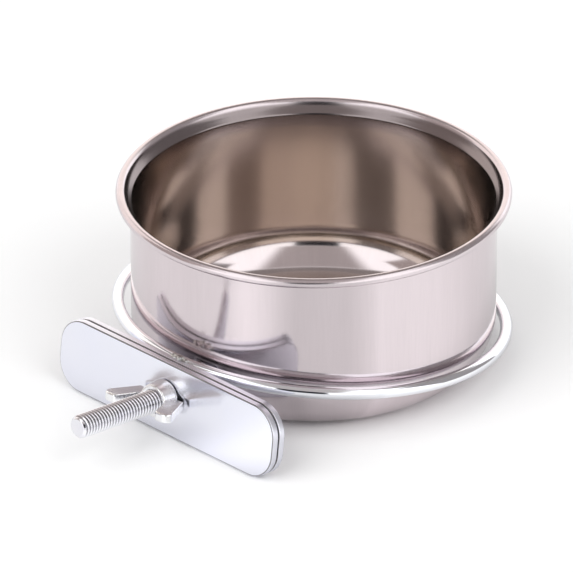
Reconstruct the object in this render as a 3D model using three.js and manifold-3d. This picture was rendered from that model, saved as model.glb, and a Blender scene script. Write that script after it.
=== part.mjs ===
import * as THREE from "three";
import { mergeVertices } from "three/addons/utils/BufferGeometryUtils.js";
import Module from "manifold-3d";

// Hanging dog bowl: a small sheet-metal bowl that stands loose inside a wire ring. The ring is
// welded behind an oblong plate, and a screw with a wing nut presses a second plate against the
// first, so that the two can grip a cage's wires between them.
// Millimetres, Z up, the origin at the centre of the bowl's flat underside. The clamp is on the
// -Y side. The ring and its clamp lie tipped on the table, with the screw's tip raised.

// Bowl, outside sizes
const WALL_RADIUS = 46.35;
const RIM_OVERHANG = 3.65;
const BOWL_HEIGHT = 47.2;
const SHEET = 0.6;
const CORNER_RADIUS = 12.6;

// The way from the rim's bead down to the wall, inside: a hollow, a slope and a shoulder.
// The angles in degrees are those between each surface and the upright.
const BEAD_RADIUS = 1.25;
const BEAD_END = 20;
const NECK_HOLLOW = 4;
const NECK_SLOPE = 44;
const NECK_SHOULDER = 1.2;
const RIM_RADIUS = WALL_RADIUS + RIM_OVERHANG;

// Wire ring
const WIRE_RADIUS = 1.6;
const RING_CLEARANCE = 1.55;
const RING_RADIUS = WALL_RADIUS + RING_CLEARANCE + WIRE_RADIUS;
const RING_SETBACK = 0.5;
const TILT = THREE.MathUtils.degToRad(6.65);

// Weld between the wire and the back plate
const WELD_LENGTH = 7;
const WELD_WIDTH = 1.1;
const WELD_HEIGHT = 1.5;
const WELD_TURN = THREE.MathUtils.degToRad(48);

// Clamp plates
const PLATE_LENGTH = 75;
const PLATE_HEIGHT = 19.15;
const PLATE_THICKNESS = 2;
const PLATE_CORNER = 7.5;
const PLATE_SHIFT = 3.3;
const HOLE_CLEARANCE = 0.25;

// How far the screw's axis lies above the middle of the plates
const SCREW_RISE = 0.4;

// The gap left wherever one piece rests against the next
const SEAT_GAP = 0.3;
const WIRE_GAP = 0.1;

// Screw: a right-hand thread on a stud with a low round head
const PITCH = 1;
const MAJOR_RADIUS = 2.97;
const THREAD_DEPTH = 0.58;
const CREST_SHARE = 0.14;
const STUD_REACH = 30.9;
const STUD_CHAMFER = 0.6;
const PLAIN_SHANK = 1;
const HEAD_RADIUS = 5.5;
const HEAD_THICKNESS = 2.5;
const HEAD_ROUNDING = 1;

// Wing nut, measured out from the screw's axis and up from the clamp plate's face
const THREAD_CLEARANCE = 0.18;
const HUB_FOOT_RADIUS = 4.8;
const HUB_TOP_RADIUS = 4.3;
const HUB_HEIGHT = 4.6;
const HUB_EDGE = 0.5;
const WING_SPAN = 22.4;
const WING_HEIGHT = 11;
const WING_ROOT_REACH = 7.4;
const WING_ROOT_HEIGHT = 1;
const WING_TIP_WIDTH = 3.8;
const WING_THICKNESS = 2.4;
const WING_TIP_ROUNDING = 1.1;
const WING_TURN = THREE.MathUtils.degToRad(3.5);

// How finely curves are cut into facets
const ROUND_STEPS = 72;
const WIRE_STEPS = 12;
const SMALL_ROUND_STEPS = 32;
const THREAD_STEPS = 16;
const ARC_STEPS = 8;
const BEAD_STEPS = 9;

const wasm = await Module();
wasm.setup();

const stainless = new THREE.MeshStandardMaterial({ color: 0xd6d4d2, roughness: 0.12, metalness: 1 });
const chromedWire = new THREE.MeshStandardMaterial({ color: 0xcfd0d2, roughness: 0.15, metalness: 1 });
const zincPlate = new THREE.MeshStandardMaterial({ color: 0xd3d6de, roughness: 0.35, metalness: 1 });
const zincScrew = new THREE.MeshStandardMaterial({ color: 0xb9bac4, roughness: 0.3, metalness: 1 });
const castNut = new THREE.MeshStandardMaterial({ color: 0xc9cad0, roughness: 0.35, metalness: 1 });

// A geometry as a boolean solid
function solid(geometry) {
  const bare = geometry.index ? geometry.toNonIndexed() : geometry.clone();
  bare.deleteAttribute("normal");
  bare.deleteAttribute("uv");
  const merged = mergeVertices(bare, 1e-4);
  return new wasm.Manifold(
    new wasm.Mesh({
      numProp: 3,
      vertProperties: merged.attributes.position.array,
      triVerts: new Uint32Array(merged.index.array),
    }),
  );
}

// A boolean solid as a geometry
function shell(body) {
  const mesh = body.getMesh();
  const geometry = new THREE.BufferGeometry();
  geometry.setAttribute("position", new THREE.BufferAttribute(mesh.vertProperties, 3));
  geometry.setIndex(new THREE.BufferAttribute(mesh.triVerts, 1));
  return geometry;
}

function named(name, geometry, material) {
  const mesh = new THREE.Mesh(geometry, material);
  mesh.name = name;
  return mesh;
}

// A body turned about Z from a profile of radii and heights that starts and ends on the axis
function turned(profile, steps) {
  return new THREE.LatheGeometry(profile, steps).rotateX(Math.PI / 2);
}

// Points along an arc from one angle to another
function arc(x, y, radius, from, to, steps) {
  return Array.from({ length: steps + 1 }, (_, i) => {
    const angle = THREE.MathUtils.degToRad(from + ((to - from) * i) / steps);
    return new THREE.Vector2(x + radius * Math.cos(angle), y + radius * Math.sin(angle));
  });
}

// Bowl: flat underside, rounded corner and upright wall. Under the rim the wall steps outwards
// into a solid bead, and the inside follows the outside one sheet's thickness away.
function bowlGeometry() {
  const beadX = RIM_RADIUS - BEAD_RADIUS;
  const beadZ = BOWL_HEIGHT - BEAD_RADIUS;
  const beadFoot = beadZ - BEAD_RADIUS;
  const inside = WALL_RADIUS - SHEET;
  const flat = WALL_RADIUS - CORNER_RADIUS;
  const end = THREE.MathUtils.degToRad(BEAD_END);
  const slope = THREE.MathUtils.degToRad(NECK_SLOPE);
  // Each stretch of the neck starts in the direction in which the last one ends
  const hollowX = beadX - (BEAD_RADIUS + NECK_HOLLOW) * Math.cos(end);
  const hollowZ = beadZ + (BEAD_RADIUS + NECK_HOLLOW) * Math.sin(end);
  const hollow = arc(hollowX, hollowZ, NECK_HOLLOW, -BEAD_END, -NECK_SLOPE, BEAD_STEPS / 3);
  const slopeTop = hollow[hollow.length - 1];
  const shoulderTop = inside + NECK_SHOULDER * (1 - Math.cos(slope));
  const slopeFoot = slopeTop.y - (slopeTop.x - shoulderTop) / Math.tan(slope);
  const neckFoot = slopeFoot - NECK_SHOULDER * Math.sin(slope);
  const v = (x, y) => new THREE.Vector2(x, y);
  const underNeck = new THREE.QuadraticBezierCurve(
    v(WALL_RADIUS, neckFoot - SHEET / 2),
    v(WALL_RADIUS, beadFoot),
    v(beadX, beadFoot),
  );
  const profile = [
    v(0, 0),
    ...arc(flat, CORNER_RADIUS, CORNER_RADIUS, -90, 0, ARC_STEPS),
    ...underNeck.getPoints(ARC_STEPS / 2),
    ...arc(beadX, beadZ, BEAD_RADIUS, -90, 180, BEAD_STEPS).slice(1, -1),
    ...hollow,
    ...arc(inside + NECK_SHOULDER, neckFoot, NECK_SHOULDER, 180 - NECK_SLOPE, 180, ARC_STEPS / 4),
    ...arc(flat, CORNER_RADIUS, CORNER_RADIUS - SHEET, 0, -90, ARC_STEPS),
    v(0, SHEET),
  ];
  return turned(profile, ROUND_STEPS);
}

// Ring: a closed wire circle with a lump of weld along its top beside the back plate
function ringGeometry() {
  const wire = new THREE.TorusGeometry(RING_RADIUS, WIRE_RADIUS, WIRE_STEPS, ROUND_STEPS);
  const along = Math.sqrt(RING_RADIUS ** 2 - PLATE_SHIFT ** 2);
  const weld = new THREE.SphereGeometry(0.5, ARC_STEPS * 2, ARC_STEPS)
    .scale(WELD_LENGTH, WELD_WIDTH, WELD_HEIGHT)
    .translate(
      PLATE_SHIFT,
      -(along + WIRE_RADIUS * Math.cos(WELD_TURN)) + WELD_WIDTH / 4,
      WIRE_RADIUS * Math.sin(WELD_TURN),
    );
  return shell(solid(wire).add(solid(weld)));
}

// Plate: an oblong with round corners and one hole for the screw, just above its middle
function plateGeometry() {
  const x = PLATE_LENGTH / 2 - PLATE_CORNER;
  const y = PLATE_HEIGHT / 2 - PLATE_CORNER;
  const top = y - SCREW_RISE;
  const foot = -y - SCREW_RISE;
  const outline = new THREE.Shape();
  outline.absarc(x, top, PLATE_CORNER, 0, Math.PI / 2);
  outline.absarc(-x, top, PLATE_CORNER, Math.PI / 2, Math.PI);
  outline.absarc(-x, foot, PLATE_CORNER, Math.PI, 1.5 * Math.PI);
  outline.absarc(x, foot, PLATE_CORNER, 1.5 * Math.PI, 2 * Math.PI);
  const hole = new THREE.Path();
  hole.absarc(0, 0, MAJOR_RADIUS + HOLE_CLEARANCE, 0, 2 * Math.PI, true);
  outline.holes.push(hole);
  return new THREE.ExtrudeGeometry(outline, {
    depth: PLATE_THICKNESS,
    bevelEnabled: false,
    curveSegments: ARC_STEPS,
  });
}

// Threaded rod along Z. Each row of points climbs one pitch per turn at its own radius, so the
// side of the last step of a row joins the row that starts one pitch higher. The ends stay
// uneven by a pitch and are cut off by whatever the rod is joined with.
function threadedRod(low, high, extra) {
  const root = MAJOR_RADIUS - THREAD_DEPTH + extra;
  const crest = MAJOR_RADIUS + extra;
  const row = [
    { climb: 0, radius: root },
    { climb: 0.5 - CREST_SHARE / 2, radius: crest },
    { climb: 0.5 + CREST_SHARE / 2, radius: crest },
  ];
  const perTurn = row.length;
  const first = Math.floor(low / PITCH) - 1;
  const last = perTurn * (Math.ceil(high / PITCH) - first);
  const points = [];
  for (let j = 0; j <= last; j++) {
    const { climb, radius } = row[j % perTurn];
    for (let i = 0; i < THREAD_STEPS; i++) {
      const angle = (2 * Math.PI * i) / THREAD_STEPS;
      const turns = first + Math.floor(j / perTurn) + climb + i / THREAD_STEPS;
      points.push(radius * Math.cos(angle), radius * Math.sin(angle), turns * PITCH);
    }
  }
  const at = (j, i) => (i < THREAD_STEPS ? j * THREAD_STEPS + i : (j + perTurn) * THREAD_STEPS);
  const faces = [];
  for (let i = 0; i < THREAD_STEPS; i++) {
    const rows = i < THREAD_STEPS - 1 ? last : last - perTurn;
    for (let j = 0; j < rows; j++) {
      faces.push(at(j, i), at(j, i + 1), at(j + 1, i + 1));
      faces.push(at(j, i), at(j + 1, i + 1), at(j + 1, i));
    }
  }
  // Each end is a fan from the axis to the row that ends there and the step in its side
  const lowLoop = [];
  const highLoop = [];
  for (let i = 0; i < THREAD_STEPS; i++) {
    lowLoop.push(at(0, i));
    highLoop.push(at(last, i));
  }
  for (let k = 0; k < perTurn; k++) {
    lowLoop.push(at(perTurn - k, 0));
    highLoop.push(at(last - 1 - k, THREAD_STEPS - 1));
  }
  const lowCentre = points.length / 3;
  points.push(0, 0, (first + 0.5) * PITCH);
  const highCentre = points.length / 3;
  points.push(0, 0, (first + last / perTurn + 0.5) * PITCH);
  lowLoop.forEach((p, n) => faces.push(lowCentre, lowLoop[(n + 1) % lowLoop.length], p));
  highLoop.forEach((p, n) => faces.push(highCentre, p, highLoop[(n + 1) % highLoop.length]));
  const geometry = new THREE.BufferGeometry();
  geometry.setAttribute("position", new THREE.Float32BufferAttribute(points, 3));
  geometry.setIndex(faces);
  return solid(geometry);
}

// Screw: the head sits behind the back plate and the thread runs out through both plates.
// Heights are counted from the clamp plate's outer face.
function screwGeometry() {
  const seat = -(2 * PLATE_THICKNESS + 2 * SEAT_GAP);
  const v = (x, y) => new THREE.Vector2(x, y);
  const envelope = turned(
    [
      v(0, -PLAIN_SHANK),
      v(MAJOR_RADIUS + PITCH, -PLAIN_SHANK),
      v(MAJOR_RADIUS + PITCH, STUD_REACH - STUD_CHAMFER - PITCH),
      v(MAJOR_RADIUS - STUD_CHAMFER, STUD_REACH),
      v(0, STUD_REACH),
    ],
    SMALL_ROUND_STEPS,
  );
  const shank = turned(
    [
      v(0, seat - HEAD_THICKNESS),
      ...arc(HEAD_RADIUS - HEAD_ROUNDING, seat - HEAD_THICKNESS + HEAD_ROUNDING,
        HEAD_ROUNDING, -90, 0, ARC_STEPS / 2),
      v(HEAD_RADIUS, seat),
      v(MAJOR_RADIUS, seat),
      v(MAJOR_RADIUS, -PLAIN_SHANK / 2),
      v(0, -PLAIN_SHANK / 2),
    ],
    SMALL_ROUND_STEPS,
  );
  const thread = threadedRod(-PLAIN_SHANK, STUD_REACH, 0).intersect(solid(envelope));
  return shell(thread.add(solid(shank)));
}

// One wing: a tongue that leans outwards from the hub, with a rounded outer tip
function wingShape() {
  const tip = WING_SPAN / 2;
  const outline = new THREE.Shape();
  outline.moveTo(HUB_TOP_RADIUS - 1, WING_ROOT_HEIGHT);
  outline.lineTo(WING_ROOT_REACH, WING_ROOT_HEIGHT);
  outline.lineTo(tip, WING_HEIGHT - 2 * WING_TIP_ROUNDING);
  outline.quadraticCurveTo(tip, WING_HEIGHT, tip - 2 * WING_TIP_ROUNDING, WING_HEIGHT);
  outline.lineTo(tip - WING_TIP_WIDTH, WING_HEIGHT);
  outline.lineTo(HUB_TOP_RADIUS, HUB_HEIGHT - HUB_EDGE);
  outline.lineTo(HUB_TOP_RADIUS - 1, HUB_HEIGHT - HUB_EDGE);
  return outline;
}

// Wing nut: a hub that narrows upwards, two wings, and a thread that clears the screw's
function nutGeometry() {
  const v = (x, y) => new THREE.Vector2(x, y);
  const hub = turned(
    [
      v(0, SEAT_GAP),
      v(HUB_FOOT_RADIUS, SEAT_GAP),
      v(HUB_FOOT_RADIUS, SEAT_GAP + HUB_EDGE),
      v(HUB_TOP_RADIUS, HUB_HEIGHT - HUB_EDGE),
      v(HUB_TOP_RADIUS - HUB_EDGE, HUB_HEIGHT),
      v(0, HUB_HEIGHT),
    ],
    SMALL_ROUND_STEPS,
  );
  const wing = new THREE.ExtrudeGeometry(wingShape(), {
    depth: WING_THICKNESS,
    bevelEnabled: false,
    curveSegments: ARC_STEPS / 2,
  })
    .translate(0, 0, -WING_THICKNESS / 2)
    .rotateX(Math.PI / 2);
  const other = wing.clone().rotateZ(Math.PI);
  const body = solid(hub).add(solid(wing)).add(solid(other));
  return shell(body.subtract(threadedRod(-PITCH, WING_HEIGHT, THREAD_CLEARANCE)));
}

const bowl = named("bowl", bowlGeometry(), stainless);

// The clamp's own frame: Z points out along the screw, X runs along the plates, and the origin
// is on the screw's axis at the clamp plate's outer face. The plates' tops are level with the
// top of the wire.
const backFace = RING_RADIUS + WIRE_RADIUS + WIRE_GAP;
const clamp = new THREE.Group();
clamp.rotation.x = Math.PI / 2;
clamp.position.set(
  PLATE_SHIFT,
  -(backFace + 2 * PLATE_THICKNESS + SEAT_GAP),
  WIRE_RADIUS - PLATE_HEIGHT / 2 + SCREW_RISE,
);

const backPlate = named("back_plate", plateGeometry(), zincPlate);
backPlate.position.z = -(2 * PLATE_THICKNESS + SEAT_GAP);

const clampPlate = named("clamp_plate", plateGeometry(), zincPlate);
clampPlate.position.z = -PLATE_THICKNESS;

const wingNut = named("wing_nut", nutGeometry(), castNut);
// The nut is turned on the screw by WING_TURN and moved along by the same share of a pitch, so
// the two threads stay in step.
wingNut.rotation.z = WING_TURN;
wingNut.position.z = (PITCH * WING_TURN) / (2 * Math.PI);

clamp.add(backPlate, named("clamp_bolt", screwGeometry(), zincScrew), clampPlate, wingNut);

// Ring and clamp lie tipped about X, at the height that rests the back plate's lower rear edge
// on the table
const plateFoot = PLATE_HEIGHT - WIRE_RADIUS;
const holder = new THREE.Group();
holder.rotation.x = -TILT;
holder.position.set(0, -RING_SETBACK, plateFoot * Math.cos(TILT) - backFace * Math.sin(TILT));
holder.add(named("holder_ring", ringGeometry(), chromedWire), clamp);

const hangingBowl = new THREE.Group();
hangingBowl.add(bowl, holder);

export default hangingBowl;
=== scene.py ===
import math

import bmesh
import bpy
import numpy as np
from mathutils import Matrix


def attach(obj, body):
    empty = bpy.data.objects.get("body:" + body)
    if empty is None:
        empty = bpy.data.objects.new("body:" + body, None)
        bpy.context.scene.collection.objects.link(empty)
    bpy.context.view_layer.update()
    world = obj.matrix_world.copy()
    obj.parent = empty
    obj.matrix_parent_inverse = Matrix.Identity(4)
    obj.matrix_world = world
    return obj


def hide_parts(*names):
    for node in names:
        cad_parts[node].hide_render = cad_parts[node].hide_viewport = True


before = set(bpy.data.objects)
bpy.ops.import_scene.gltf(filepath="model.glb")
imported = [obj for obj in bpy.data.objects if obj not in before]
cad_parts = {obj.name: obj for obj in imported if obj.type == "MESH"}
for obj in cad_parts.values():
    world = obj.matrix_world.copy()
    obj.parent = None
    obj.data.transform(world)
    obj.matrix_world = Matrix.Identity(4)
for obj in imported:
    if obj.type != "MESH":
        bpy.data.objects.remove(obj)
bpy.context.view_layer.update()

# Hanging dog bowl: the looks of the bowl, its wire ring and the screw clamp.
# Sizes are in millimetres, as in the solids, and each mesh is written in metres.

MM = 0.001
# Points nearer to each other than this are one: in a mesh, in metres, and in a profile
MERGE = 1e-7
SAME_POINT = 1e-6

# Bowl: BEAD_END and NECK_SLOPE are in degrees
WALL_RADIUS = 46.35
RIM_RADIUS = 50.0
BOWL_HEIGHT = 47.2
SHEET = 0.6
CORNER_RADIUS = 12.6
BEAD_RADIUS = 1.25
BEAD_END = 20.0
NECK_HOLLOW = 4.0
NECK_SLOPE = 44.0
NECK_SHOULDER = 1.2
BOWL_COLUMNS = 360

# Where the bowl's finishes change: depths below the rim's top for the rim and for the neck's
# painted shade, and heights above the table for the inside's rougher finish and painted warm
# shade, of which the base keeps a share
RIM_FADE = (2.5, 6.0)
NECK_SHADE_FADE_IN = (0.5, 1.3)
NECK_SHADE_FADE_OUT = (4.5, 7.0)
BASE_FADE = (4.0, 15.0)
BASE_SHARE = 0.15

# Wire ring
WIRE_RADIUS = 1.6
RING_RADIUS = 49.5
RING_SETBACK = 0.5
TILT = math.radians(6.65)
RING_COLUMNS = 400
WIRE_COLUMNS = 24

# Weld: its middle lies at a turn round the wire's section, and a little farther out
WELD_LENGTH = 8.0
WELD_WIDTH = 2.6
WELD_HEIGHT = 3.3
WELD_TURN = math.radians(48)
WELD_OUT = 0.62
WELD_LUMP = 0.14
WELD_RIDGE = 0.1

# Clamp
PLATE_LENGTH = 75.0
PLATE_HEIGHT = 19.15
PLATE_THICKNESS = 2.0
PLATE_CORNER = 7.5
PLATE_SHIFT = 3.3
PLATE_COLUMNS = 480
SEAT_GAP = 0.3
WIRE_GAP = 0.1
HOLE_RADIUS = 3.22
SCREW_RISE = 0.4

# A plate's edges: how far they are rounded, from which turn in degrees, in how many rows, and
# the first and last rows of the upper and lower rounded edges that get painted shade, and of the
# sheared band between them
EDGE_ROUND = 0.35
EDGE_START = 75
EDGE_ROWS = 6
FACE_ROWS = 7
UPPER_EDGE_SHADE = (7, 9)
SHEARED_BAND = (11, 14)
LOWER_EDGE_SHADE = (15, 18)

# Screw: shares of the pitch for crest and flank, and how much of the flank's shape is a curve
PITCH = 1.0
MAJOR_RADIUS = 2.97
THREAD_DEPTH = 0.58
THREAD_START = -1
CREST_SHARE = 0.14
FLANK_SHARE = 0.66
FLANK_CURVE = 0.35
STEPS_PER_TURN = 16
STUD_REACH = 30.9
TIP_CHAMFER = 0.75
TIP_SHRINK = 0.9
TIP_ROWS = 6
TIP_BARE = 0.8
# Painted shade in the thread's roots begins this far in from the crest
ROOT_SHADE_START = 0.15
HEAD_RADIUS = 5.5
HEAD_THICKNESS = 2.5
HEAD_ROUND = 1
ROUND_COLUMNS = 96

# Wing nut: WING_BACK is the corner behind the tip, in from the tip and down from the top, and
# WING_EDGE_TURN is in degrees
HUB_FOOT_RADIUS = 4.8
HUB_FOOT_ROUND = 0.15
HUB_FOOT_HEIGHT = 0.5
HUB_TOP_RADIUS = 4.3
HUB_TOP_ROUND = 0.5
HUB_HEIGHT = 4.6
WING_SPAN = 22.4
WING_HEIGHT = 11.0
WING_START = 2.2
WING_ROOT_REACH = 7.4
WING_ROOT_HEIGHT = 1.0
WING_SINK = 0.2
WING_TIP_ROUND = 2.2
WING_BACK = [(3.6, 0.0), (4.2, 0.1), (4.5, 0.9)]
WING_THICKNESS = 2.4
WING_FACE_SHARES = (0.0, 0.5, 0.9)
WING_EDGE_ROUND = 0.45
WING_EDGE_SHRINK = 0.09
WING_EDGE_TURN = 80
WING_EDGE_ROWS = 15
WING_TURN = math.radians(3.5)
BORE_RADIUS = 3.1
BORE_ENDS = (-3, 12)
NUT_VOXEL = 0.14

# How far out the back plate's rear face is, and how far below the ring the plates reach
BACK_FACE = RING_RADIUS + WIRE_RADIUS + WIRE_GAP
PLATE_FOOT = PLATE_HEIGHT - WIRE_RADIUS


def turn_x(angle):
    """Rotation matrix about X."""
    c, s = math.cos(angle), math.sin(angle)
    return np.array([[1, 0, 0], [0, c, -s], [0, s, c]])


def turn_z(angle):
    """Rotation matrix about Z."""
    c, s = math.cos(angle), math.sin(angle)
    return np.array([[c, -s, 0], [s, c, 0], [0, 0, 1]])


# The table's frame, the tipped ring's own frame, the clamp's frame with Z out along the screw,
# and the nut's, turned and moved along its thread: each a rotation and a place
TABLE = (np.eye(3), np.zeros(3))
HOLDER = (
    turn_x(-TILT),
    np.array([0, -RING_SETBACK, PLATE_FOOT * math.cos(TILT) - BACK_FACE * math.sin(TILT)]),
)
CLAMP = (
    HOLDER[0] @ turn_x(math.pi / 2),
    HOLDER[0] @ np.array([
        PLATE_SHIFT,
        -(BACK_FACE + 2 * PLATE_THICKNESS + SEAT_GAP),
        WIRE_RADIUS - PLATE_HEIGHT / 2 + SCREW_RISE,
    ]) + HOLDER[1],
)
NUT = (
    CLAMP[0] @ turn_z(WING_TURN),
    CLAMP[1] + CLAMP[0] @ np.array([0, 0, PITCH * WING_TURN / (2 * math.pi)]),
)


def placed(points, where):
    """Points turned and moved from a piece's own frame into the part's frame."""
    turn, move = where
    return points @ turn.T + move


def arc(x, y, radius, start, end, count):
    """Points at equal angles along an arc: centre plus radius times cosine and sine."""
    angle = np.radians(np.linspace(start, end, count))
    return np.stack([x + radius * np.cos(angle), y + radius * np.sin(angle)], -1)


def bezier(corners, count):
    """Points of a Bezier curve: repeated blends of neighbouring corners by the same share."""
    share = np.linspace(0, 1, count)[:, None]
    level = [np.array(c, float)[None, :] for c in corners]
    while len(level) > 1:
        level = [a * (1 - share) + b * share for a, b in zip(level, level[1:])]
    return level[0]


def line(start, end, count):
    """Points at equal steps along a straight line."""
    return bezier([start, end], count)


def chain(*runs):
    """Runs of points joined end to end, with the points that repeat left out."""
    points = np.concatenate(runs)
    step = np.linalg.norm(np.diff(points, axis=0), axis=1)
    return points[np.concatenate([[True], step > SAME_POINT])]


def ramp(values, start, end):
    """Smooth step: nought before the start, one past the end, and no corner at either."""
    share = np.clip((values - start) / (end - start), 0, 1)
    return share * share * (3 - 2 * share)


def revolved(profile, columns):
    """Grid of a profile of radii and heights turned about Z: x = r cos a, y = r sin a."""
    angle = np.linspace(0, 2 * np.pi, columns, endpoint=False)
    radius, height = profile[:, :1], profile[:, 1:]
    return np.stack(
        [radius * np.cos(angle), radius * np.sin(angle), height + 0 * angle], -1
    )


def shown(name, data):
    """A new object of the scene."""
    thing = bpy.data.objects.new(name, data)
    bpy.context.scene.collection.objects.link(thing)
    return thing


def skin(name, grid, where, closed=False):
    """Mesh object of a grid of points. Columns run round and always close. Rows run along
    the piece, and either close too or end in a pole, where a row's points fall together."""
    rows, columns = grid.shape[:2]
    points = placed(grid.reshape(-1, 3), where)
    row = np.arange(rows if closed else rows - 1)[:, None]
    column = np.arange(columns)[None, :]
    after, beside = (row + 1) % rows, (column + 1) % columns
    quads = np.stack(
        [
            row * columns + column,
            row * columns + beside,
            after * columns + beside,
            after * columns + column,
        ],
        -1,
    ).reshape(-1, 4)
    mesh = bpy.data.meshes.new(name)
    mesh.from_pydata((points * MM).tolist(), [], quads.tolist())
    return shown(name, mesh)


def marked(piece, name, values):
    """Keeps one number per point with the mesh, for the piece's finish to use."""
    piece.data.attributes.new(name, "FLOAT", "POINT").data.foreach_set("value", values.ravel())


def merged(piece, outwards=False):
    """Merges the points that fall together at a piece's poles. Then its faces are turned
    outwards, as a boolean needs them, or else the slivers that are left are taken out."""
    work = bmesh.new()
    work.from_mesh(piece.data)
    bmesh.ops.remove_doubles(work, verts=work.verts, dist=MERGE)
    if outwards:
        bmesh.ops.recalc_face_normals(work, faces=work.faces)
    else:
        bmesh.ops.dissolve_degenerate(work, edges=work.edges, dist=MERGE)
    work.to_mesh(piece.data)
    work.free()
    return piece


def finished(piece, body, material, slot, *nodes):
    """Closes the poles, shades the piece smooth, gives it its finish and its body, and hides the
    solids that it stands for."""
    merged(piece)
    piece.data.shade_smooth()
    piece.data.materials.clear()
    piece.data.materials.append(material)
    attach(piece, body)
    if nodes:
        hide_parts(*nodes)


# Shader nodes

def fill(tree, node, inputs):
    """Gives a node's inputs, by name or number, a value or another node's output."""
    for key, value in inputs.items():
        if isinstance(value, bpy.types.NodeSocket):
            tree.links.new(value, node.inputs[key])
        else:
            node.inputs[key].default_value = value


def add(tree, kind, inputs, **settings):
    """A new shader node with its settings and its inputs."""
    node = tree.nodes.new(kind)
    for name, value in settings.items():
        setattr(node, name, value)
    fill(tree, node, inputs)
    return node


def object_place(tree):
    """The shaded point in the object's own coordinates."""
    return add(tree, "ShaderNodeTexCoord", {}).outputs["Object"]


def split(tree, vector):
    """A vector's three numbers, named X, Y and Z."""
    return add(tree, "ShaderNodeSeparateXYZ", {0: vector}).outputs


def length(tree, vector):
    """A vector's length."""
    return add(tree, "ShaderNodeVectorMath", {0: vector}, operation="LENGTH").outputs["Value"]


def computed(tree, operation, *values):
    """A number computed from numbers and from other nodes' outputs."""
    return add(
        tree, "ShaderNodeMath", dict(enumerate(values)), operation=operation
    ).outputs[0]


def noise(tree, place, scale, detail):
    """Noise at a place: a number that varies about a half."""
    inputs = {"Vector": place, "Scale": scale, "Detail": detail}
    return add(tree, "ShaderNodeTexNoise", inputs).outputs["Fac"]


def smooth(tree, value, start, end):
    """The same smooth step as in ramp, of a node's output."""
    inputs = {"Value": value, "From Min": start, "From Max": end}
    return add(
        tree, "ShaderNodeMapRange", inputs, interpolation_type="SMOOTHSTEP"
    ).outputs[0]


def mixed(tree, share, first, second, data_type="RGBA", blend_type="MIX"):
    """Two colours, or with FLOAT two numbers, mixed by a share."""
    a, b, result = (6, 7, 2) if data_type == "RGBA" else (2, 3, 0)
    return add(
        tree, "ShaderNodeMix", {0: share, a: first, b: second},
        data_type=data_type, blend_type=blend_type,
    ).outputs[result]


def seen_by(tree, *rays):
    """One where the ray is any of the named kinds, and nought elsewhere."""
    path = add(tree, "ShaderNodeLightPath", {})
    total = path.outputs[rays[0]]
    for ray in rays[1:]:
        total = computed(tree, "MAXIMUM", total, path.outputs[ray])
    return total


def new_material(name):
    """A new material, its node tree and its shader."""
    material = bpy.data.materials.new(name)
    material.use_nodes = True
    return material, material.node_tree, material.node_tree.nodes["Principled BSDF"]


# Shader groups

# Where noise has its middle, the span that it seldom leaves, and the share of the broad bands
# in the mark of a polished wall
NOISE_MIDDLE = 0.5
NOISE_SPAN = (0.3, 0.7)
BAND_SHARE = 0.6


def new_group(name, inputs, outputs):
    """A shader group of numbers, with each input's usual value, and the given inputs."""
    group = bpy.data.node_groups.new(name, "ShaderNodeTree")
    for key, value in inputs.items():
        group.interface.new_socket(
            name=key, in_out="INPUT", socket_type="NodeSocketFloat"
        ).default_value = value
    for key in outputs:
        group.interface.new_socket(name=key, in_out="OUTPUT", socket_type="NodeSocketFloat")
    return group, add(group, "NodeGroupInput", {}).outputs


def polish_group():
    """Polishing marks on a round wall. Noise on the cosine and sine of the angle round Z, and
    on the height in metres, gives upright hairlines, and at a lower scale broad upright
    bands, which fade away towards the axis. A slow noise gives the waves that a pressed sheet
    keeps. Put out as a height and as a mark that changes the roughness and the colour."""
    group, given = new_group("polish_marks", {"Hairline": 1.0, "Wave": 1.0}, ["Height", "Mark"])
    place = object_place(group)
    parts = split(group, place)
    angle = computed(group, "ARCTAN2", parts["Y"], parts["X"])
    wrap = add(group, "ShaderNodeCombineXYZ", {
        0: computed(group, "COSINE", angle),
        1: computed(group, "SINE", angle),
        2: parts["Z"],
    }).outputs[0]
    hair = noise(group, wrap, scale=95, detail=3)
    band = noise(group, wrap, scale=5.5, detail=2)
    wave = noise(group, place, scale=45, detail=1)
    fine = computed(group, "MULTIPLY", hair, given["Hairline"])
    flat = add(group, "ShaderNodeVectorMath", {0: place, 1: (1, 1, 0)}, operation="MULTIPLY")
    away = smooth(group, length(group, flat.outputs[0]), start=10 * MM, end=40 * MM)
    both = mixed(group, BAND_SHARE, hair, band, "FLOAT")
    add(group, "NodeGroupOutput", {
        "Height": computed(group, "MULTIPLY_ADD", wave, given["Wave"], fine),
        "Mark": mixed(group, away, NOISE_MIDDLE, both, "FLOAT"),
    })
    return group


def grain_group():
    """Grain of a plated surface. Fine noise gives the satin, a slow noise the cloudy change
    from bluish to warm that zinc plating has. Put out as a height and as a cloud."""
    group, given = new_group(
        "plating_grain", {"Cloud Scale": 60.0, "Grain Scale": 900.0}, ["Height", "Cloud"]
    )
    place = object_place(group)
    add(group, "NodeGroupOutput", {
        "Height": noise(group, place, given["Grain Scale"], detail=3),
        "Cloud": noise(group, place, given["Cloud Scale"], detail=2),
    })
    return group


POLISH = polish_group()
GRAIN = grain_group()


# Metals

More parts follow.
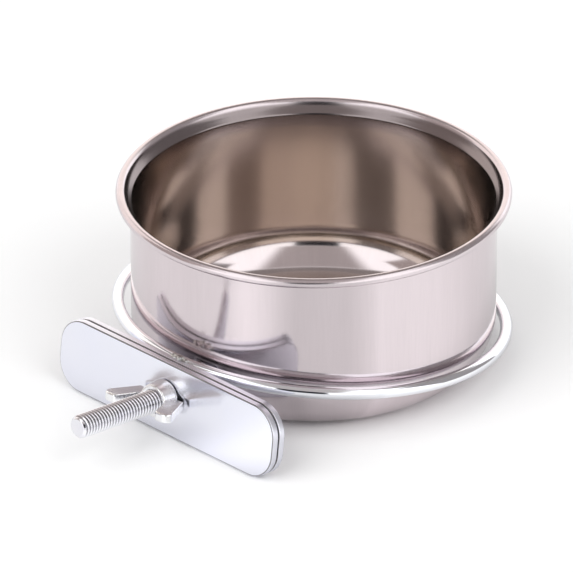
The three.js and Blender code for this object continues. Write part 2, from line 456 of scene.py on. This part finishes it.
def metal(name, group, mark, dark, light, rough, bump, **settings):
    """A metal whose colour and roughness change between two values with a mark of its
    surface, and whose bump, a strength and millimetres, comes from the same group's height."""
    material, tree, shader = new_material(name)
    given = {key.replace("_", " "): value for key, value in settings.items()}
    surface = add(tree, "ShaderNodeGroup", given, node_tree=group)
    share = surface.outputs[mark]
    gloss = add(tree, "ShaderNodeMapRange", {
        "Value": share, "From Min": NOISE_SPAN[0], "From Max": NOISE_SPAN[1],
        "To Min": rough[0], "To Max": rough[1],
    })
    relief = add(tree, "ShaderNodeBump", {
        "Strength": bump[0], "Distance": bump[1] * MM, "Height": surface.outputs["Height"],
    })
    fill(tree, shader, {
        "Metallic": 1.0,
        "Base Color": mixed(tree, share, (*dark, 1), (*light, 1)),
        "Roughness": gloss.outputs[0],
        "Normal": relief.outputs[0],
    })
    return material


def blended(material, name, socket_name, value):
    """Changes one of the shader's values where the mesh's own mark is one: a number leads over
    to another number, and a colour is multiplied, so it keeps its own variation."""
    tree = material.node_tree
    shader = tree.nodes["Principled BSDF"]
    source = shader.inputs[socket_name].links[0].from_socket
    mark = add(tree, "ShaderNodeAttribute", {}, attribute_name=name).outputs["Fac"]
    if isinstance(value, tuple):
        changed = mixed(tree, mark, source, (*value, 1), "RGBA", "MULTIPLY")
    else:
        changed = mixed(tree, mark, source, value, "FLOAT")
    fill(tree, shader, {socket_name: changed})


steel_sheet = metal(
    "polished_stainless", POLISH, "Mark",
    dark=(0.62, 0.553, 0.573), light=(0.76, 0.68, 0.706), rough=(0.08, 0.14), bump=(0.25, 0.02),
    Hairline=0.25, Wave=1.0,
)
blended(steel_sheet, "inside", "Roughness", 0.15)
# Painted warm shade: the inside is darkened and warmed, standing in for the light it mirrors
# back and forth
blended(steel_sheet, "inside", "Base Color", (0.91, 0.92, 0.8))
blended(steel_sheet, "rim", "Roughness", 0.22)
# Painted shade: the neck band under the rim is darkened, standing in for the dark things it
# mirrors
blended(steel_sheet, "neck", "Base Color", (0.4, 0.385, 0.375))
bright_wire = metal(
    "bright_wire", GRAIN, "Cloud",
    dark=(0.84, 0.85, 0.9), light=(0.93, 0.94, 0.975), rough=(0.06, 0.12), bump=(0.05, 0.02),
)
weld_metal = metal(
    "weld_metal", GRAIN, "Cloud",
    dark=(0.0, 0.0, 0.0), light=(1.0, 0.98, 0.97), rough=(0.1, 0.24), bump=(0.6, 0.2),
    Cloud_Scale=700.0, Grain_Scale=1500.0,
)
zinc_plate = metal(
    "zinc_plate", GRAIN, "Cloud",
    dark=(0.83, 0.84, 0.94), light=(0.89, 0.895, 0.955), rough=(0.16, 0.26), bump=(0.15, 0.02),
)
# Painted shade on the plates' rounded edges, standing in for the dark lines they mirror
blended(zinc_plate, "edge_painted_shade", "Base Color", (0.3, 0.29, 0.28))
blended(zinc_plate, "edge", "Roughness", 0.38)
zinc_screw = metal(
    "zinc_screw", GRAIN, "Cloud",
    dark=(0.78, 0.77, 0.84), light=(0.9, 0.9, 0.91), rough=(0.12, 0.22), bump=(0.1, 0.02),
    Cloud_Scale=300.0,
)
# Painted shade in the thread's roots, where the grooves lie in shade
blended(zinc_screw, "root", "Base Color", (0.2, 0.2, 0.21))
zinc_nut = metal(
    "zinc_nut", GRAIN, "Cloud",
    dark=(0.86, 0.86, 0.88), light=(0.96, 0.96, 0.97), rough=(0.16, 0.3), bump=(0.2, 0.03),
    Cloud_Scale=300.0,
)


# Bowl

def bowl_profile():
    """The bowl's section: flat base, round corner, upright wall, a step outwards under the
    rim, the rim's bead, and the same way back down inside, one sheet's thickness away.
    Inside, the step is a hollow arc, a straight slope and a round shoulder, each of which
    starts in the direction in which the last one ends."""
    bead_x, bead_z = RIM_RADIUS - BEAD_RADIUS, BOWL_HEIGHT - BEAD_RADIUS
    bead_foot = bead_z - BEAD_RADIUS
    inside, flat = WALL_RADIUS - SHEET, WALL_RADIUS - CORNER_RADIUS
    end, slope = math.radians(BEAD_END), math.radians(NECK_SLOPE)
    hollow_x = bead_x - (BEAD_RADIUS + NECK_HOLLOW) * math.cos(end)
    hollow_z = bead_z + (BEAD_RADIUS + NECK_HOLLOW) * math.sin(end)
    hollow = arc(hollow_x, hollow_z, NECK_HOLLOW, -BEAD_END, -NECK_SLOPE, 14)
    left = hollow[-1][0] - (inside + NECK_SHOULDER * (1 - math.cos(slope)))
    start = hollow[-1] - np.array([left, left / math.tan(slope)])
    neck_foot = start[1] - NECK_SHOULDER * math.sin(slope)
    wall_top = (WALL_RADIUS, neck_foot - SHEET / 2)
    return chain(
        line((0, 0), (flat, 0), 8),
        arc(flat, CORNER_RADIUS, CORNER_RADIUS, -90, 0, 28),
        line((WALL_RADIUS, CORNER_RADIUS), wall_top, 10),
        bezier([wall_top, (WALL_RADIUS, bead_foot), (bead_x, bead_foot)], 12),
        arc(bead_x, bead_z, BEAD_RADIUS, -90, 180 - BEAD_END, 36),
        hollow,
        arc(inside + NECK_SHOULDER, neck_foot, NECK_SHOULDER, 180 - NECK_SLOPE, 180, 10),
        line((inside, neck_foot), (inside, CORNER_RADIUS), 10),
        arc(flat, CORNER_RADIUS, CORNER_RADIUS - SHEET, 0, -90, 28),
        line((flat, SHEET), (0, SHEET), 8),
    )


bowl_section = bowl_profile()
bowl = skin("bowl_sheet", revolved(bowl_section, BOWL_COLUMNS), TABLE)
height = bowl_section[:, 1:]
depth = BOWL_HEIGHT - height
around = np.ones(BOWL_COLUMNS)
past_rim = (np.arange(len(bowl_section)) > bowl_section[:, 1].argmax())[:, None]
below_rim = ramp(depth, *RIM_FADE)
wall_share = BASE_SHARE + (1 - BASE_SHARE) * ramp(height, *BASE_FADE)
# The neck band's mask, for its painted shade
neck_painted_shade = ramp(depth, *NECK_SHADE_FADE_IN) * (1 - ramp(depth, *NECK_SHADE_FADE_OUT))
# The inside's mark gives it a rougher finish and a painted warm shade, less of both on the base
marked(bowl, "inside", below_rim * past_rim * wall_share * around)
marked(bowl, "rim", (1 - below_rim) * around)
marked(bowl, "neck", neck_painted_shade * past_rim * around)
finished(bowl, "bowl_body", steel_sheet, "polished_stainless", "bowl")


# Wire ring and its weld

def ring_grid():
    """Torus: a circle of the wire's radius carried round a circle of the ring's radius."""
    around = np.linspace(0, 2 * np.pi, RING_COLUMNS, endpoint=False)[:, None]
    section = np.linspace(0, 2 * np.pi, WIRE_COLUMNS, endpoint=False)[None, :]
    reach = RING_RADIUS + WIRE_RADIUS * np.cos(section)
    height = WIRE_RADIUS * np.sin(section) + 0 * around
    return np.stack([reach * np.cos(around), reach * np.sin(around), height], -1)


def weld_grid():
    """A lumpy bead: an ellipsoid along X whose radius sinks and swells with sines of both
    angles, and in ridges with the cosine of eight times the angle from its end."""
    down = np.linspace(0, np.pi, 90)[:, None]
    section = np.linspace(0, 2 * np.pi, 60, endpoint=False)[None, :]
    lump = WELD_LUMP * (1 + np.sin(3 * section + 2 * down) * np.sin(9 * down))
    ridge = WELD_RIDGE * (1 - np.cos(8 * down))
    radius = 1 - (lump + ridge) * np.sin(down)
    reach = math.sqrt(RING_RADIUS ** 2 - PLATE_SHIFT ** 2) + WIRE_RADIUS * math.cos(WELD_TURN)
    return np.stack([
        PLATE_SHIFT - 0.5 * WELD_LENGTH * np.cos(down) * radius + 0 * section,
        -(WELD_OUT + reach) + 0.5 * WELD_WIDTH * np.sin(down) * np.cos(section) * radius,
        WIRE_RADIUS * math.sin(WELD_TURN)
        + 0.5 * WELD_HEIGHT * np.sin(down) * np.sin(section) * radius,
    ], -1)


ring = skin("wire_ring", ring_grid(), HOLDER, closed=True)
ring.data.flip_normals()
finished(ring, "holder", bright_wire, "bright_wire", "holder_ring")
weld = skin("ring_weld", weld_grid(), HOLDER)
finished(weld, "holder", weld_metal, "bright_wire")


# Clamp plates

def outline(inset):
    """Points round an oblong with round corners, drawn in by an inset, at equal steps of its
    length: each step falls on a straight side or on a quarter circle."""
    x, y = PLATE_LENGTH / 2 - PLATE_CORNER, PLATE_HEIGHT / 2 - PLATE_CORNER
    corners = [(x, y, 0), (-x, y, 90), (-x, -y, 180), (x, -y, 270)]
    border = np.concatenate([
        arc(cx, cy, PLATE_CORNER - inset, a, a + 90, 24) for cx, cy, a in corners
    ])
    border = np.concatenate([border, border[:1]])
    step = np.linalg.norm(np.diff(border, axis=0), axis=1)
    gone = np.concatenate([[0], np.cumsum(step)])
    at = np.linspace(0, gone[-1], PLATE_COLUMNS, endpoint=False)
    return np.stack([np.interp(at, gone, border[:, k]) for k in (0, 1)], -1) - (0, SCREW_RISE)


def plate_grid():
    """A plate as a closed band: up through its hole, out over the face, round the rounded
    edge, and back over the other face. Each row blends the hole's circle into the outline."""
    rim = outline(0)
    angle = np.arctan2(rim[:, 1], rim[:, 0])
    hole = HOLE_RADIUS * np.stack([np.cos(angle), np.sin(angle)], -1)
    face = outline(EDGE_ROUND)
    upper = [
        (hole * (1 - share) + face * share, PLATE_THICKNESS)
        for share in np.linspace(0, 1, FACE_ROWS)
    ]
    for turn in np.radians(np.linspace(EDGE_START, 0, EDGE_ROWS)):
        drop = EDGE_ROUND * (1 - math.sin(turn))
        upper.append((outline(EDGE_ROUND * (1 - math.cos(turn))), PLATE_THICKNESS - drop))
    lower = [(points, PLATE_THICKNESS - z) for points, z in reversed(upper)]
    return np.stack([
        np.column_stack([points, np.full(PLATE_COLUMNS, z)]) for points, z in upper + lower
    ])


def rows_marked(grid, *bands):
    """One at the grid's rows from the first to the last of each band, and nought elsewhere."""
    row = np.arange(len(grid))[:, None] * np.ones(grid.shape[1])
    return sum((row >= first) & (row <= last) for first, last in bands) * 1.0


def plate(name, height, body, node):
    """One clamp plate at a height along the screw. The rows of its two rounded edges are marked
    for painted shade, and those of the sheared band between them for a rougher finish."""
    grid = plate_grid()
    grid[..., 2] += height
    made = skin(name, grid, CLAMP, closed=True)
    marked(made, "edge_painted_shade", rows_marked(grid, UPPER_EDGE_SHADE, LOWER_EDGE_SHADE))
    marked(made, "edge", rows_marked(grid, SHEARED_BAND))
    finished(made, body, zinc_plate, "zinc_plate", node)


plate("inner_plate", -(2 * PLATE_THICKNESS + SEAT_GAP), "holder", "back_plate")
plate("outer_plate", -PLATE_THICKNESS, "plate_body", "clamp_plate")


# Screw

def screw_grid():
    """Head, shank and thread in one surface. The thread's radius falls from crest to root
    with the distance of height / pitch - angle / turn from a whole number, rounded at both,
    and a cone at the tip cuts it off."""
    seat = -(2 * PLATE_THICKNESS + 2 * SEAT_GAP)
    foot, flat = seat - HEAD_THICKNESS, HEAD_RADIUS - HEAD_ROUND
    head = chain(
        line((0, foot), (flat, foot), 6),
        arc(flat, foot + HEAD_ROUND, HEAD_ROUND, -90, 0, 10),
        line((HEAD_RADIUS, foot + HEAD_ROUND), (HEAD_RADIUS, seat), 4),
        line((HEAD_RADIUS, seat), (MAJOR_RADIUS, seat), 5),
        line((MAJOR_RADIUS, seat), (MAJOR_RADIUS, THREAD_START), 6),
    )
    height = np.arange(THREAD_START, STUD_REACH + 1e-9, PITCH / STEPS_PER_TURN)[:, None]
    angle = np.linspace(0, 2 * np.pi, ROUND_COLUMNS, endpoint=False)[None, :]
    phase = (height / PITCH - angle / (2 * np.pi)) % 1
    fall = np.clip((np.abs(2 * phase - 1) - CREST_SHARE) / FLANK_SHARE, 0, 1)
    fall = ramp(fall, 0, 1) * FLANK_CURVE + fall * (1 - FLANK_CURVE)
    radius = MAJOR_RADIUS - THREAD_DEPTH * fall
    radius = np.minimum(radius, MAJOR_RADIUS - TIP_CHAMFER + (STUD_REACH - height))
    thread = np.stack([radius * np.cos(angle), radius * np.sin(angle), height + 0 * angle], -1)
    shrink = np.linspace(TIP_SHRINK, 0, TIP_ROWS)[:, None, None]
    end = thread[-1][None] * np.array([1, 1, 0]) * shrink
    end[..., 2] = STUD_REACH
    return np.concatenate([revolved(head, ROUND_COLUMNS), thread, end])


thread = screw_grid()
screw = skin("stud_screw", thread, CLAMP)
# The thread's roots are marked for painted shade, fuller towards the bottom of each groove
narrowness = MAJOR_RADIUS - np.hypot(thread[..., 0], thread[..., 1])
on_stud = (thread[..., 2] > 0) & (thread[..., 2] < STUD_REACH - TIP_BARE)
marked(screw, "root", ramp(narrowness, ROOT_SHADE_START, THREAD_DEPTH) * on_stud)
finished(screw, "holder", zinc_screw, "zinc_screw", "clamp_bolt")


# Wing nut

def wing_outline():
    """The wing's side view, out from the axis and up from the plate: a tongue that leans
    outwards, with a round tip drawn by a Bezier curve."""
    tip, top, meets_hub = WING_SPAN / 2, WING_HEIGHT, HUB_HEIGHT - WING_SINK
    foot, root = (WING_START, WING_ROOT_HEIGHT), (WING_ROOT_REACH, WING_ROOT_HEIGHT)
    front, crown = (tip, top - WING_TIP_ROUND), (tip - WING_TIP_ROUND, top)
    back = [(tip - inwards, top - down) for inwards, down in WING_BACK]
    hub_edge, hub_middle = (HUB_TOP_RADIUS, meets_hub), (WING_START, meets_hub)
    return chain(
        line(foot, root, 8),
        line(root, front, 20),
        bezier([front, (tip, top), crown], 16),
        line(crown, back[0], 5),
        bezier(back, 6),
        line(back[-1], hub_edge, 16),
        line(hub_edge, hub_middle, 5),
        line(hub_middle, foot, 8),
    )[:-1]


def wing_grid(side):
    """A wing's outline swept across its thickness: each row is the outline shrunk towards its
    middle near the two faces, so that the edges are rounded, and at last to its middle."""
    edge = wing_outline()
    middle = edge.mean(0)
    half = WING_THICKNESS / 2
    rows = [(-half, share) for share in WING_FACE_SHARES]
    for turn in np.radians(np.linspace(-WING_EDGE_TURN, WING_EDGE_TURN, WING_EDGE_ROWS)):
        across = (half - WING_EDGE_ROUND) * np.sign(round(turn, 6))
        share = 1 - WING_EDGE_SHRINK * (1 - math.cos(turn))
        rows.append((across + WING_EDGE_ROUND * math.sin(turn), share))
    rows += [(half, share) for share in reversed(WING_FACE_SHARES)]
    grid = []
    for y, share in rows:
        shrunk = middle + (edge - middle) * share
        grid.append(np.column_stack([shrunk[:, 0], np.full(len(edge), y), shrunk[:, 1]]))
    return np.stack(grid) * np.array([side, side, 1])


def hub_profile():
    """The hub's section: a cone that narrows upwards from a short foot to a flat top."""
    foot, top = SEAT_GAP + HUB_FOOT_HEIGHT, HUB_HEIGHT - HUB_TOP_ROUND
    flat, round_middle = HUB_FOOT_RADIUS - HUB_FOOT_ROUND, SEAT_GAP + HUB_FOOT_ROUND
    top_flat = (HUB_TOP_RADIUS - HUB_TOP_ROUND, HUB_HEIGHT)
    return chain(
        line((0, SEAT_GAP), (flat, SEAT_GAP), 6),
        arc(flat, round_middle, HUB_FOOT_ROUND, -90, 0, 4),
        line((HUB_FOOT_RADIUS, round_middle), (HUB_FOOT_RADIUS, foot), 3),
        line((HUB_FOOT_RADIUS, foot), (HUB_TOP_RADIUS, top), 10),
        bezier([(HUB_TOP_RADIUS, top), (HUB_TOP_RADIUS, HUB_HEIGHT), top_flat], 6),
        line(top_flat, (0, HUB_HEIGHT), 6),
    )


def bore_profile():
    """The section of the round rod that cuts the nut's hole, longer than the nut."""
    low, high = BORE_ENDS
    corners = [(0, low), (BORE_RADIUS, low), (BORE_RADIUS, high), (0, high)]
    return chain(*(line(a, b, 2) for a, b in zip(corners, corners[1:])))


def bake(piece):
    """Writes the piece's modifiers into its mesh."""
    bpy.context.view_layer.update()
    shown_piece = piece.evaluated_get(bpy.context.evaluated_depsgraph_get())
    mesh = bpy.data.meshes.new_from_object(shown_piece)
    piece.modifiers.clear()
    piece.data = mesh


def boolean(target, tool, operation):
    """Joins another closed mesh to the target, or cuts it out, and removes the tool."""
    change = target.modifiers.new(operation, "BOOLEAN")
    change.operation = operation
    change.solver = "EXACT"
    change.object = tool
    bake(target)
    bpy.data.objects.remove(tool)


def nut_solid(name, grid):
    """A closed mesh in the nut's frame, ready for a boolean."""
    return merged(skin(name, grid, NUT), outwards=True)


nut = nut_solid("butterfly_nut", revolved(hub_profile(), ROUND_COLUMNS))
for side in (1, -1):
    boolean(nut, nut_solid("wing", wing_grid(side)), "UNION")
fuse = nut.modifiers.new("fuse", "REMESH")
fuse.mode = "VOXEL"
fuse.voxel_size = NUT_VOXEL * MM
soften = nut.modifiers.new("soften", "SMOOTH")
soften.factor = 0.5
soften.iterations = 4
bake(nut)
boolean(nut, nut_solid("bore", revolved(bore_profile(), ROUND_COLUMNS)), "DIFFERENCE")
finished(nut, "nut_body", zinc_nut, "zinc_nut", "wing_nut")


# Studio: a pale floor, a white surround, two broad soft lamps, and dark and light cards that
# the metal reflects. From here on lengths are in metres

CAMERA_TURN = 0.7747045
CAMERA_LIFT = 0.5001656
CAMERA_DISTANCE = 2.2
CAMERA_LENS = 545.0
TARGET_SIDE = -0.006875
TARGET_HEIGHT = 0.018428
LAMP_DISTANCE = 2

# The floor lies a hair below the part, and the metal sees it glow a little away from the bowl
FLOOR_REACH = 60.0
FLOOR_DROP = 2e-5
FLOOR_GLOW = 0.2
GLOW_START = 48 * MM
GLOW_END = 80 * MM

# How bright the surround is: as the light on the object, as the camera sees it, and how much
# brighter than the light the metal sees it
LIGHT_LEVEL = 0.66
CAMERA_LEVEL = 1.0
MIRROR_EXTRA = 0.86

# How bright the metal sees the floor, at angles round Z from the camera's side: set by trial
# until the wall's broad light and dark bands fell as they do in the photograph
FLOOR_SEEN = [
    (-180, 0.78), (-85, 0.77), (-62, 0.79), (-42, 0.97), (-8, 0.65), (18, 0.67), (36, 0.79),
    (42, 0.91), (72, 0.9), (115, 0.77), (180, 0.78),
]
# The point before the bowl's middle that its round wall seems to mirror the floor from
MIRROR_REACH = 0.024


def bearing(turn, lift):
    """Unit vector at an angle round Z from -Y and at an angle upwards, both in radians."""
    return np.array([
        math.sin(turn) * math.cos(lift), -math.cos(turn) * math.cos(lift), math.sin(lift),
    ])


def direction(turn, lift):
    """Unit vector at degrees round Z from the camera's side and at degrees upwards."""
    return bearing(CAMERA_TURN + math.radians(turn), math.radians(lift))


def aimed(back):
    """Rotation whose local Z points along the given vector, as a lamp or camera looks."""
    right = np.cross([0, 0, 1.0], back)
    right /= np.linalg.norm(right)
    up = np.cross(back, right)
    return np.stack([right, up, back], -1)


def set_place(thing, turn, move):
    """Puts a lamp or the camera at a place, turned by a rotation matrix."""
    whole = np.eye(4)
    whole[:3, :3] = turn
    whole[:3, 3] = move
    thing.matrix_world = Matrix(whole.tolist())


def sheet(name, width, height, where, material):
    """A flat oblong of the studio, in metres, turned and moved to its place."""
    x, y = width / 2, height / 2
    corners = np.array([(-x, -y, 0), (x, -y, 0), (x, y, 0), (-x, y, 0)], float)
    mesh = bpy.data.meshes.new(name)
    mesh.from_pydata(placed(corners, where).tolist(), [], [(0, 1, 2, 3)])
    mesh.materials.append(material)
    return shown(name, mesh)


def floor_tone(tree):
    """The floor's brightness at a point: its angle about the wall's mirror point, looked up in
    the list of angles and tones."""
    turned = add(tree, "ShaderNodeVectorRotate", {
        "Angle": -CAMERA_TURN, "Vector": object_place(tree),
    }, rotation_type="Z_AXIS")
    parts = split(tree, turned.outputs[0])
    towards = computed(tree, "MULTIPLY_ADD", parts["Y"], -1.0, -MIRROR_REACH)
    angle = computed(tree, "ARCTAN2", parts["X"], towards)
    share = add(tree, "ShaderNodeMapRange", {
        "Value": angle, "From Min": -math.pi, "From Max": math.pi,
    })
    tones = add(tree, "ShaderNodeValToRGB", {0: share.outputs[0]})
    tones.color_ramp.interpolation = "EASE"
    stops = tones.color_ramp.elements
    for stop, (turn, tone) in zip([stops[0], stops[1]], [FLOOR_SEEN[0], FLOOR_SEEN[-1]]):
        stop.position = (turn + 180) / 360
        stop.color = (tone, tone, tone, 1)
    for turn, tone in FLOOR_SEEN[1:-1]:
        stops.new((turn + 180) / 360).color = (tone, tone, tone, 1)
    return tones.outputs["Color"]


def floor_material():
    """A pale floor that the camera sees as white, with the shadows on it. Reflections see it
    in the uneven brightness that the photograph's bowl mirrors, and darker close to the bowl."""
    material, tree, shader = new_material("pale_floor")
    pale = mixed(tree, seen_by(tree, "Is Camera Ray"), (0.8, 0.8, 0.8, 1), (1.0, 1.0, 1.0, 1))
    mirrored = seen_by(tree, "Is Glossy Ray")
    tone = floor_tone(tree)
    away = smooth(tree, length(tree, object_place(tree)), GLOW_START, GLOW_END)
    glowing = computed(tree, "MULTIPLY", mirrored, away)
    fill(tree, shader, {
        "Roughness": 0.9,
        "Specular IOR Level": 0.0,
        "Base Color": mixed(tree, mirrored, pale, tone),
        "Emission Color": mixed(tree, glowing, (0, 0, 0, 1), tone),
        "Emission Strength": FLOOR_GLOW,
    })
    return material


def lamp(name, turn, lift, strength, width):
    """A far, broad, round lamp: its light is even over the floor and its shadows are soft."""
    data = bpy.data.lights.new(name, "SUN")
    data.energy = strength
    data.angle = math.radians(width)
    thing = shown(name, data)
    back = direction(turn, lift)
    set_place(thing, aimed(back), back * LAMP_DISTANCE)
    thing.visible_glossy = False


def card(name, turn, lift, distance, width, height, shade, fade):
    """A dark or light card that only reflections see: a flat sheet facing the object. Towards
    its edges it fades away, over one share of its half width and another of its half height."""
    material, tree, shader = new_material(name)
    cover = []
    for side, share in zip(["across", "up"], fade):
        place = add(tree, "ShaderNodeAttribute", {}, attribute_name=side).outputs["Fac"]
        cover.append(smooth(tree, computed(tree, "ABSOLUTE", place), 1.0, 1.0 - share))
    fill(tree, shader, {
        "Alpha": computed(tree, "MULTIPLY", *cover),
        "Base Color": (0, 0, 0, 1),
        "Specular IOR Level": 0.0,
        "Emission Color": (*shade, 1),
        "Emission Strength": 1.0,
    })
    back = direction(turn, lift)
    made = sheet(name, width, height, (aimed(back), back * distance), material)
    marked(made, "across", np.array([-1.0, 1.0, 1.0, -1.0]))
    marked(made, "up", np.array([-1.0, -1.0, 1.0, 1.0]))
    made.visible_camera = False
    made.visible_diffuse = False
    made.visible_shadow = False


floor_place = (np.eye(3), np.array([0, 0, -FLOOR_DROP]))
floor = sheet("floor", 2 * FLOOR_REACH, 2 * FLOOR_REACH, floor_place, floor_material())

world = bpy.data.worlds.new("surround")
bpy.context.scene.world = world
world.use_nodes = True
sky = world.node_tree
level = add(sky, "ShaderNodeMapRange", {
    "Value": seen_by(sky, "Is Camera Ray", "Is Transmission Ray"),
    "To Min": LIGHT_LEVEL, "To Max": CAMERA_LEVEL,
})
fill(sky, sky.nodes["Background"], {
    "Color": (1, 1, 1, 1),
    "Strength": computed(
        sky, "MULTIPLY_ADD", seen_by(sky, "Is Glossy Ray"), MIRROR_EXTRA, level.outputs[0]
    ),
})

lamp("left_lamp", -48, 42, strength=1.2, width=50)
lamp("right_lamp", 46, 38, strength=0.9, width=50)

# Cards: turn from the camera's side and height in degrees, distance, width and height in
# metres, colour, and the shares of the half width and half height over which they fade
card("camera_card", -2.5, 19, 1.5, 0.8, 0.94, (0.03, 0.03, 0.035), (0.2, 0.2))
card("left_card", -88, 24, 1.7, 1.4, 1.9, (0.46, 0.4, 0.38), (0.15, 0.15))
card("left_back_card", -131, 24, 1.75, 1.4, 1.9, (1.2, 1.12, 1.06), (0.15, 0.15))
card("back_card", 180, 27, 1.8, 1.9, 1.7, (1.35, 1.27, 1.19), (0.3, 0.2))
card("right_card", 100, 24, 1.7, 1.7, 1.9, (0.33, 0.31, 0.31), (0.15, 0.15))
card("near_roof", 0, 62, 1.6, 1.5, 1.8, (0.5, 0.46, 0.45), (0.4, 0.15))
card("far_roof", 0, 115, 1.6, 3.2, 1.6, (0.3, 0.27, 0.26), (0.3, 0.15))

# Camera, at the photograph's angle
camera_data = bpy.data.cameras.new("camera")
camera_data.sensor_width = 36.0
camera_data.lens = CAMERA_LENS
camera_data.clip_end = 200.0
camera = shown("camera", camera_data)
back = bearing(CAMERA_TURN, CAMERA_LIFT)
facing = aimed(back)
target = facing[:, 0] * TARGET_SIDE + np.array([0, 0, TARGET_HEIGHT])
set_place(camera, facing, target + back * CAMERA_DISTANCE)
bpy.context.scene.camera = camera
bpy.context.scene.view_settings.view_transform = "Standard"
